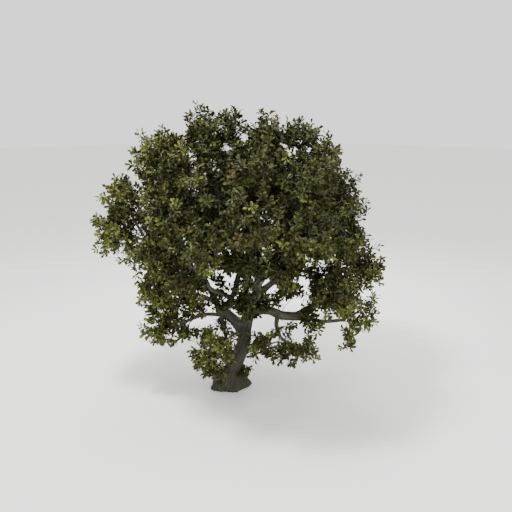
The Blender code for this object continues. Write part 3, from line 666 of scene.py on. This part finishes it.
class Socket:
    """A socket of a material's nodes, for sums written as they are read."""

    def __init__(self, tree, socket):
        self.tree = tree
        self.socket = socket

    def node(self, kind, output=0, settings=(), **inputs):
        """A new node of a kind, with its settings and inputs, as the socket of one output."""
        made = self.tree.nodes.new(kind)
        for name, value in dict(settings).items():
            setattr(made, name, value)
        for name, value in inputs.items():
            target = made.inputs[int(name[1:])] if name[0] == "_" else made.inputs[name]
            if isinstance(value, Socket):
                self.tree.links.new(value.socket, target)
            else:
                target.default_value = value
        return Socket(self.tree, made.outputs[output])

    def sum(self, operation, one, other):
        """A Math node of two values."""
        return self.node("ShaderNodeMath", settings={"operation": operation}, _0=one, _1=other)

    def __add__(self, other):
        return self.sum("ADD", self, other)

    def __mul__(self, other):
        return self.sum("MULTIPLY", self, other)

    def __sub__(self, other):
        return self.sum("SUBTRACT", self, other)

    def __rsub__(self, other):
        return self.sum("SUBTRACT", other, self)

    __radd__ = __add__
    __rmul__ = __mul__

    def span(self, low, high):
        """The value's place between two values, from 0 to 1."""
        return self.node("ShaderNodeMapRange", _0=self, _1=low, _2=high)

    def noise(self, scale, detail=3.0, rough=0.5):
        """Noise over this vector."""
        return self.node("ShaderNodeTexNoise", Vector=self, Scale=scale, Detail=detail, Roughness=rough)

    def stretched(self, x, y, z):
        """This vector times a scale on each axis."""
        settings = {"operation": "MULTIPLY"}
        return self.node("ShaderNodeVectorMath", settings=settings, _0=self, _1=(x, y, z))

    def blend(self, one, other):
        """A mix of two colours by this value."""
        settings = {"data_type": "RGBA"}
        return self.node("ShaderNodeMix", output=2, settings=settings, _0=self, _6=one, _7=other)


def new_material(name, roughness):
    """A material, its shader, and a socket to start from."""
    material = bpy.data.materials.new(name)
    material.use_nodes = True
    tree = material.node_tree
    shader = tree.nodes["Principled BSDF"]
    shader.inputs["Roughness"].default_value = roughness
    return material, shader, Socket(tree, None)


def opaque(colour):
    """A colour with its fourth number."""
    return (*colour, 1.0)


@functools.lru_cache
def bark_material():
    """Grey-brown bark in long streaks, with painted shade in its furrows, moss on the foot, and darker
    toward the foot.
    """
    colours = bpy.context.scene.oak_colours
    material, shader, start = new_material("bark", 0.9)
    place = start.node("ShaderNodeAttribute", output=1, settings={"attribute_name": "bark_place"})
    world = start.node("ShaderNodeTexCoord", output=3)
    height = start.node("ShaderNodeSeparateXYZ", output=2, Vector=world)
    streaks = place.stretched(1, 1, 0.16).noise(24.0, 4.0, 0.6)
    blotches = place.stretched(1, 1, 0.5).noise(3.2, 3.0)
    relief = start.node("ShaderNodeAttribute", output=2, settings={"attribute_name": "bark_relief"})
    # Lighter on the ridges: partly the grain of the streaks, partly painted shade that darkens the furrows
    # by their relief
    grain_and_furrow_shade = streaks.span(0.35, 0.65) * 0.45 + relief.span(-0.5, 0.15) * 0.55
    colour = grain_and_furrow_shade.blend(opaque(colours.bark_dark), opaque(colours.bark_light))
    moss = blotches.span(0.46, 0.66) * (1 - height.span(0.2, 2.4)) * grain_and_furrow_shade.span(0.2, 0.6)
    colour = moss.blend(colour, opaque(colours.moss))
    # Darker toward the foot
    foot_darkening = (1 - height.span(0.1, 0.9)) * 0.45
    colour = foot_darkening.blend(colour, opaque(colours.bark_dark))
    start.tree.links.new(colour.socket, shader.inputs["Base Color"])
    grain = streaks + place.stretched(1, 1, 0.4).noise(60.0, 3.0) * 0.4
    bump = start.node("ShaderNodeBump", Strength=0.8, Distance=0.02, Height=grain)
    start.tree.links.new(bump.socket, shader.inputs["Normal"])
    return material


@functools.lru_cache
def twig_material():
    """Smooth grey-brown bark of thin limbs and twigs."""
    colours = bpy.context.scene.oak_colours
    material, shader, start = new_material("twig_bark", 0.8)
    world = start.node("ShaderNodeTexCoord", output=3)
    patches = world.noise(9.0, 3.0).span(0.35, 0.65)
    colour = patches.blend(opaque(colours.twig_dark), opaque(colours.twig_light))
    start.tree.links.new(colour.socket, shader.inputs["Base Color"])
    bump = start.node("ShaderNodeBump", Strength=0.4, Distance=0.005, Height=world.noise(80.0, 2.0))
    start.tree.links.new(bump.socket, shader.inputs["Normal"])
    return material


def leaf_material(name, colour):
    """Leaves of one tint, a little lighter and darker from place to place."""
    material, shader, start = new_material(name, 0.5)
    shader.inputs["Specular IOR Level"].default_value = 0.1
    world = start.node("ShaderNodeTexCoord", output=3)
    patches = world.noise(10.0, 3.0).span(0.38, 0.62)
    dark = tuple(part * 0.4 for part in colour)
    light = tuple(part * 1.9 for part in colour)
    mixed = patches.blend(opaque(dark), opaque(light))
    start.tree.links.new(mixed.socket, shader.inputs["Base Color"])
    veins = world.noise(45.0, 2.0)
    bump = start.node("ShaderNodeBump", Strength=0.3, Distance=0.01, Height=veins)
    start.tree.links.new(bump.socket, shader.inputs["Normal"])
    return material


def ridges(angles, along, radius):
    """The bark's relief at the angles round a limb: long ridges that wander, swell and break."""
    turns = max(5, round(2 * math.pi * radius * RIDGES_PER_METRE))
    wander = 0.5 * np.sin(along * 2.3 + 1.7 * np.sin(angles)) + 0.35 * np.sin(along * 5.1 + 2 * angles)
    crest = np.abs(np.sin(turns * angles / 2 + wander * turns / 6))
    swell = 0.6 + 0.4 * np.sin(along * 9.0 + 5 * np.sin(3 * angles + along))
    foot = 1 + FOOT_RIDGES * np.exp(-along / FLARE_HEIGHT) if radius > TRUNK_TOP_RADIUS else 1.0
    return foot * (crest * swell - 0.6)


def tube(path, radii, sides, shape):
    """Rings of bark round a path and the place of each point in the bark."""
    across, up = path_frames(path)
    turns = 2 * math.pi * np.arange(sides) / sides
    steps = np.linalg.norm(np.diff(path, axis=0), axis=1)
    lengths = np.concatenate([[0], np.cumsum(steps)])
    rings = np.empty((len(path), sides, 3))
    places = np.empty((len(path), sides, 4))
    for row, (radius, along) in enumerate(zip(radii, lengths)):
        relief = ridges(turns, along, radius)
        reach = radius + relief * shape.ridge_depth * min(1.0, radius / 0.3)
        lumps = 1 + 0.05 * np.sin(along * 3.1 + 2 * turns) + 0.03 * np.sin(along * 7.3 - 3 * turns)
        reach = reach * lumps
        ways = np.cos(turns)[:, None] * across[row] + np.sin(turns)[:, None] * up[row]
        rings[row] = path[row] + reach[:, None] * ways
        places[row, :, 0] = radius * np.cos(turns)
        places[row, :, 1] = radius * np.sin(turns)
        places[row, :, 2] = along
        places[row, :, 3] = relief
    return rings, places


def shoot_space(shoot):
    """The space of a shoot, from the axis of its limb."""
    root = point_along(limb_paths()[shoot.limb], shoot.at)
    way = heading_and_rise(shoot.heading, shoot.rise)
    return Space(root, root + shoot.reach * way, np.array((shoot.half_x, shoot.half_y, shoot.half_z)))


@functools.lru_cache
def grown():
    """Every twig: its path, how many sprays each point carries, and its mass's middle."""
    shape = bpy.context.scene.oak_shape
    stems = [(space, stem_start(name)) for name, space in mass_spaces().items()]
    for shoot in SHOOTS:
        space = shoot_space(shoot)
        stems.append((space, [space.root, space.root + (space.centre - space.root) * SHOOT_NECK]))
    twigs = []
    for index, (space, stem) in enumerate(stems):
        chance = np.random.default_rng((SEED, index))
        spacing = shape.tuft_spacing * (1 if index < len(MASSES) else SHOOT_SPACING)
        spots = spray_spots(space, spacing, shape.sprays_per_tuft, shape.leaf_length * EDGE, chance)
        made = []
        grow(list(stem), [len(spots)] * len(stem), spots, made, chance)
        twigs.extend((path, counts, space.centre) for path, counts in made)
    return twigs


def leaf_form():
    """One leaf's points, along, across and up in shares of its length, and its faces."""
    side = [(along, across, across * 0.35) for along, across in LEAF_SIDE]
    other = [(along, -across, across * 0.35) for along, across in LEAF_SIDE]
    rib = [(along, 0.0, 0.0) for along in LEAF_RIB]
    points = np.array(side + rib + other)
    points[:, 2] -= 0.22 * points[:, 0] ** 2
    faces = list(LEAF_SIDE_FACES)
    mirror = (7, 8, 9, 10, 11, 5, 6)
    faces += [tuple(mirror[corner] for corner in reversed(face)) for face in LEAF_SIDE_FACES]
    faces += [(7, 5, 0)]
    return points, np.array(faces)


def sprays():
    """Each spray's tip, its direction and its mass's middle."""
    tips = np.array([path[-1] for path, counts, middle in grown()])
    ways = unit([path[-1] - path[-2] for path, counts, middle in grown()])
    ways = ways + OUTWARD * unit(tips - CROWN_MIDDLE) + np.array((0, 0, LIFT))
    return tips, unit(ways), np.array([middle for path, counts, middle in grown()])


def spray_tints(tips, middles, chance):
    """The tint of each spray by number: darker tints as painted shade deep in the crown, deep in its mass
    and near the ground, lighter ones as painted light high up and outside, mixed a little at random; a few
    russet.
    """
    shade_scores = np.linalg.norm((tips - SHADE_MIDDLE) / SHADE_HALF, axis=1)
    shade_scores += MASS_SHADE * np.linalg.norm(tips - middles, axis=1)
    shade_scores -= LOW_SHADE * np.clip(SHADE_BELOW - tips[:, 2], 0, None)
    ranks = np.argsort(np.argsort(shade_scores + chance.normal(0, TINT_MIX, len(tips))))
    dealt = np.searchsorted(np.cumsum(TINT_SHARES) * len(tips), ranks, side="right")
    dealt = dealt.clip(0, len(TINT_SHARES) - 1)
    dealt[chance.random(len(tips)) < RUSSET_SHARE] = len(TINT_SHARES)
    return dealt


def leaf_points(tips, ways, middles, shape, chance):
    """The points of every leaf, in a whorl round the end of each spray."""
    count = shape.leaves_per_spray
    number = np.arange(count)
    golden = math.pi * (3 - math.sqrt(5))
    turn = chance.uniform(0, 2 * math.pi, (len(tips), 1)) + golden * number
    back = shape.leaf_length * 1.1 * (1 - number / (count - 1)) ** 1.3
    splay = np.radians(28 + 55 * (1 - number / (count - 1))) + chance.normal(0, 0.15, turn.shape)
    level = unit(np.cross(ways, (0.13, 0.21, 0.97)))
    rise = np.cross(ways, level)
    out = np.cos(turn)[..., None] * level[:, None] + np.sin(turn)[..., None] * rise[:, None]
    along = np.cos(splay)[..., None] * ways[:, None] + np.sin(splay)[..., None] * out
    along = unit(along - np.array((0, 0, 0.1)))
    roots = tips[:, None] - ways[:, None] * back[None, :, None]
    outward = unit(tips - middles)[:, None]
    face = np.array((0, 0, 0.4)) + 0.5 * outward + 0.3 * out + chance.normal(0, 0.35, along.shape)
    across = unit(np.cross(face, along))
    up = np.cross(along, across)
    size = shape.leaf_length * chance.uniform(0.7, 1.2, turn.shape)
    form, faces = leaf_form()
    points = roots[:, :, None] + size[..., None, None] * (
        form[:, 0, None] * along[:, :, None] + form[:, 1, None] * across[:, :, None]
        + form[:, 2, None] * up[:, :, None])
    return points.reshape(-1, 3), faces, len(form)


class OakShape(bpy.types.PropertyGroup):
    """Sizes of the tree's bark, twigs and leaves."""

    ridge_depth: FloatProperty(
        name="Ridge Depth", description="Height of the bark's ridges on the trunk",
        default=0.022, min=0.0, unit="LENGTH")
    twig_radius: FloatProperty(
        name="Twig Radius", description="Radius of the thinnest twigs",
        default=0.006, min=0.001, unit="LENGTH")
    tuft_spacing: FloatProperty(
        name="Tuft Spacing", description="Distance between tufts of leaves",
        default=0.46, min=0.1, unit="LENGTH")
    sprays_per_tuft: IntProperty(
        name="Sprays", description="Sprays of leaves in each tuft", default=4, min=1)
    leaves_per_spray: IntProperty(
        name="Leaves", description="Leaves on each spray", default=8, min=2)
    leaf_length: FloatProperty(
        name="Leaf Length", description="Length of a leaf", default=0.215, min=0.02, unit="LENGTH")


def colour_property(name, description, default):
    """A colour that the user can change."""
    return FloatVectorProperty(
        name=name, description=description, default=default, subtype="COLOR", min=0.0, max=1.0)


class OakColours(bpy.types.PropertyGroup):
    """Colours of the tree's bark and leaves."""

    # The furrow colour also serves as painted shade in the furrows, and darkens the foot
    bark_light: colour_property("Bark Ridges", "Bark on its ridges", (0.078, 0.077, 0.05))
    bark_dark: colour_property("Bark Furrows", "Bark in its furrows", (0.017, 0.0165, 0.0105))
    moss: colour_property("Moss", "Moss on the foot", (0.034, 0.037, 0.011))
    twig_light: colour_property("Twig Light", "Pale bark of thin limbs", (0.15, 0.145, 0.11))
    twig_dark: colour_property("Twig Dark", "Dark bark of thin limbs", (0.06, 0.058, 0.04))
    # The four greens are lighter and darker copies of one leaf colour, dealt by spray as painted shade and
    # painted light
    deep_green: colour_property("Deep Green", "Leaves of the darkest tint", (0.0195, 0.0235, 0.0055))
    mid_green: colour_property("Mid Green", "Leaves of the middle tint", (0.031, 0.037, 0.009))
    olive: colour_property("Olive", "Leaves of a dull tint", (0.046, 0.047, 0.0135))
    yellow_green: colour_property("Yellow Green", "Leaves of the lightest tint", (0.084, 0.099, 0.021))
    russet: colour_property("Russet", "Leaves that have turned", (0.052, 0.038, 0.013))


class OAK_OT_trunk(bpy.types.Operator):
    """Make the trunk's bark from its flat foot to its fork"""

    bl_idname = "oak.trunk"
    bl_label = "Trunk"

    def execute(self, context):
        shape = context.scene.oak_shape
        top, dome = TRUNK_DOME_LEVELS[0][0], TRUNK_DOME_LEVELS
        heights = list(np.linspace(0, top, round(top / TRUNK_STEP) + 1))
        heights += list(np.linspace(top, dome[-1][0], 8)[1:])
        turns = 2 * math.pi * np.arange(TRUNK_SIDES) / TRUNK_SIDES
        ways = np.stack((np.cos(turns), np.sin(turns), np.zeros(TRUNK_SIDES)), axis=1)
        rings, places = [], []
        for height in heights:
            share = np.interp(height, [level for level, part in dome], [part for level, part in dome])
            radius = trunk_radius(height, turns)
            relief = ridges(turns, height, TRUNK_FOOT_RADIUS)
            reach = share * (radius + relief * shape.ridge_depth)
            rings.append(trunk_centre(height) + reach[:, None] * ways)
            place = np.concatenate((TRUNK_FOOT_RADIUS * ways, relief[:, None]), axis=1)
            place[:, 2] = height
            places.append(place)
        shell = Shell()
        shell.add_tube(np.array(rings), np.array(places))
        made = shell.piece("trunk_bark", bark_material(), "bark", ["trunk"])
        made.data.shade_smooth()
        return {"FINISHED"}


class OAK_OT_boughs(bpy.types.Operator):
    """Make the bark of every bough, from its parent's axis to its tip"""

    bl_idname = "oak.boughs"
    bl_label = "Boughs"

    def execute(self, context):
        shape = context.scene.oak_shape
        shell = Shell()
        for name, limb in LIMBS.items():
            path = smooth(limb_paths()[name], BARK_STEP)
            radii = [limb_radius(limb, share) for share in np.linspace(0, 1, len(path))]
            shell.add_tube(*tube(path, radii, BOUGH_SIDES, shape))
        made = shell.piece("bough_bark", bark_material(), "bark", list(LIMBS))
        made.data.shade_smooth()
        return {"FINISHED"}


class OAK_OT_twigs(bpy.types.Operator):
    """Make the branches and twigs inside the masses of foliage"""

    bl_idname = "oak.twigs"
    bl_label = "Twigs"

    def execute(self, context):
        shape = context.scene.oak_shape
        branches, twigs = Shell(), Shell()
        for path, counts, middle in grown():
            shell, sides = (branches, BRANCH_SIDES) if counts[0] > BRANCH_SPRAYS else (twigs, TWIG_SIDES)
            turns = 2 * math.pi * np.arange(sides) / sides
            path = np.array(path)
            across, up = path_frames(path)
            radii = shape.twig_radius * np.array(counts, float) ** TWIG_POWER
            ways = np.cos(turns)[None, :, None] * across[:, None]
            ways = ways + np.sin(turns)[None, :, None] * up[:, None]
            shell.add_tube(path[:, None] + radii[:, None, None] * ways)
        for name, shell in (("branches", branches), ("twigs", twigs)):
            made = shell.piece(name, twig_material(), "bark", list(MASSES))
            made.data.shade_smooth()
        return {"FINISHED"}


class OAK_OT_leaves(bpy.types.Operator):
    """Make the leaves, their tints dealt out by spray, the darker ones as painted shade deep in the crown
    """

    bl_idname = "oak.leaves"
    bl_label = "Leaves"

    def execute(self, context):
        scene = context.scene
        tips, ways, middles = sprays()
        chance = np.random.default_rng(SEED)
        points, faces, corners = leaf_points(tips, ways, middles, scene.oak_shape, chance)
        each = scene.oak_shape.leaves_per_spray * corners
        points = points.reshape(len(tips), each, 3)
        tints = ("deep_green", "mid_green", "olive", "yellow_green", "russet")
        dealt = spray_tints(tips, middles, chance)
        for index, tint in enumerate(tints):
            material = leaf_material("leaf_" + tint, getattr(scene.oak_colours, tint))
            chosen = points[dealt == index].reshape(-1, corners, 3)
            parts = math.ceil(len(chosen) * len(faces) / PIECE_FACES)
            for number, leaves in enumerate(np.array_split(chosen, parts)):
                numbers = np.arange(len(leaves))[:, None, None] * corners + faces[None]
                shell = Shell()
                shell.add(leaves.reshape(-1, 3), [numbers.reshape(-1, 3)])
                shell.piece(f"leaves_{tint}_{number + 1}", material, "leaves", list(MASSES))
        return {"FINISHED"}


class OAK_OT_stage(bpy.types.Operator):
    """Make the floor, the lights and the camera"""

    bl_idname = "oak.stage"
    bl_label = "Stage"

    def execute(self, context):
        bpy.ops.mesh.primitive_circle_add(vertices=96, radius=90, fill_type="NGON", location=(0, 0, -0.003))
        floor = context.object
        floor.name = "floor"
        material, shader, start = new_material("floor", 0.9)
        shader.inputs["Base Color"].default_value = (0.9, 0.9, 0.88, 1)
        floor.data.materials.append(material)
        world = bpy.data.worlds.new("studio")
        world.use_nodes = True
        background = world.node_tree.nodes["Background"]
        background.inputs["Color"].default_value = (1.0, 1.0, 1.0, 1)
        background.inputs["Strength"].default_value = 1.5
        context.scene.world = world
        for name, place, size, power in (
                ("key", (-6, -5, 26), 4, 7500),
                ("fill", (14, -18, 7), 12, 1500),
                ("rim", (4, 16, 16), 10, 3000),
                ("bounce", (0, -14, 1.5), 8, 500)):
            light = bpy.data.lights.new(name, "AREA")
            light.size = size
            light.energy = power
            lamp = bpy.data.objects.new(name, light)
            lamp.location = place
            lamp.rotation_euler = (Vector((1, 0, 5.5)) - Vector(place)).to_track_quat("-Z", "Y").to_euler()
            context.scene.collection.objects.link(lamp)
        camera = bpy.data.cameras.new("camera")
        camera.lens = CAMERA_LENS
        camera.sensor_width = CAMERA_SENSOR
        camera.clip_end = 400
        viewer = bpy.data.objects.new("camera", camera)
        away = Vector((0, -math.cos(CAMERA_RISE), math.sin(CAMERA_RISE)))
        viewer.location = CAMERA_AIM + away * CAMERA_RANGE
        viewer.rotation_euler = (-away).to_track_quat("-Z", "Y").to_euler()
        context.scene.collection.objects.link(viewer)
        context.scene.camera = viewer
        return {"FINISHED"}


class OAK_PT_panel(bpy.types.Panel):
    """The tree's sizes, colours and steps"""

    bl_idname = "OAK_PT_panel"
    bl_label = "Oak Tree"
    bl_space_type = "VIEW_3D"
    bl_region_type = "UI"
    bl_category = "Oak"

    def draw(self, context):
        for group in (context.scene.oak_shape, context.scene.oak_colours):
            for name in group.__annotations__:
                self.layout.prop(group, name)
        for operator in (OAK_OT_trunk, OAK_OT_boughs, OAK_OT_twigs, OAK_OT_leaves, OAK_OT_stage):
            self.layout.operator(operator.bl_idname)


CLASSES = (OakShape, OakColours, OAK_OT_trunk, OAK_OT_boughs, OAK_OT_twigs, OAK_OT_leaves,
           OAK_OT_stage, OAK_PT_panel)


def register():
    """Make the tree's classes and settings known."""
    for kind in CLASSES:
        bpy.utils.register_class(kind)
    bpy.types.Scene.oak_shape = bpy.props.PointerProperty(type=OakShape)
    bpy.types.Scene.oak_colours = bpy.props.PointerProperty(type=OakColours)


def unregister():
    """Forget the tree's classes and settings."""
    del bpy.types.Scene.oak_colours
    del bpy.types.Scene.oak_shape
    for kind in reversed(CLASSES):
        bpy.utils.unregister_class(kind)


def main():
    """Build the tree and its stage."""
    register()
    bpy.ops.object.select_all(action="DESELECT")
    bpy.ops.oak.trunk()
    bpy.ops.oak.boughs()
    bpy.ops.oak.twigs()
    bpy.ops.oak.leaves()
    bpy.ops.oak.stage()


if __name__ == "__main__":
    main()
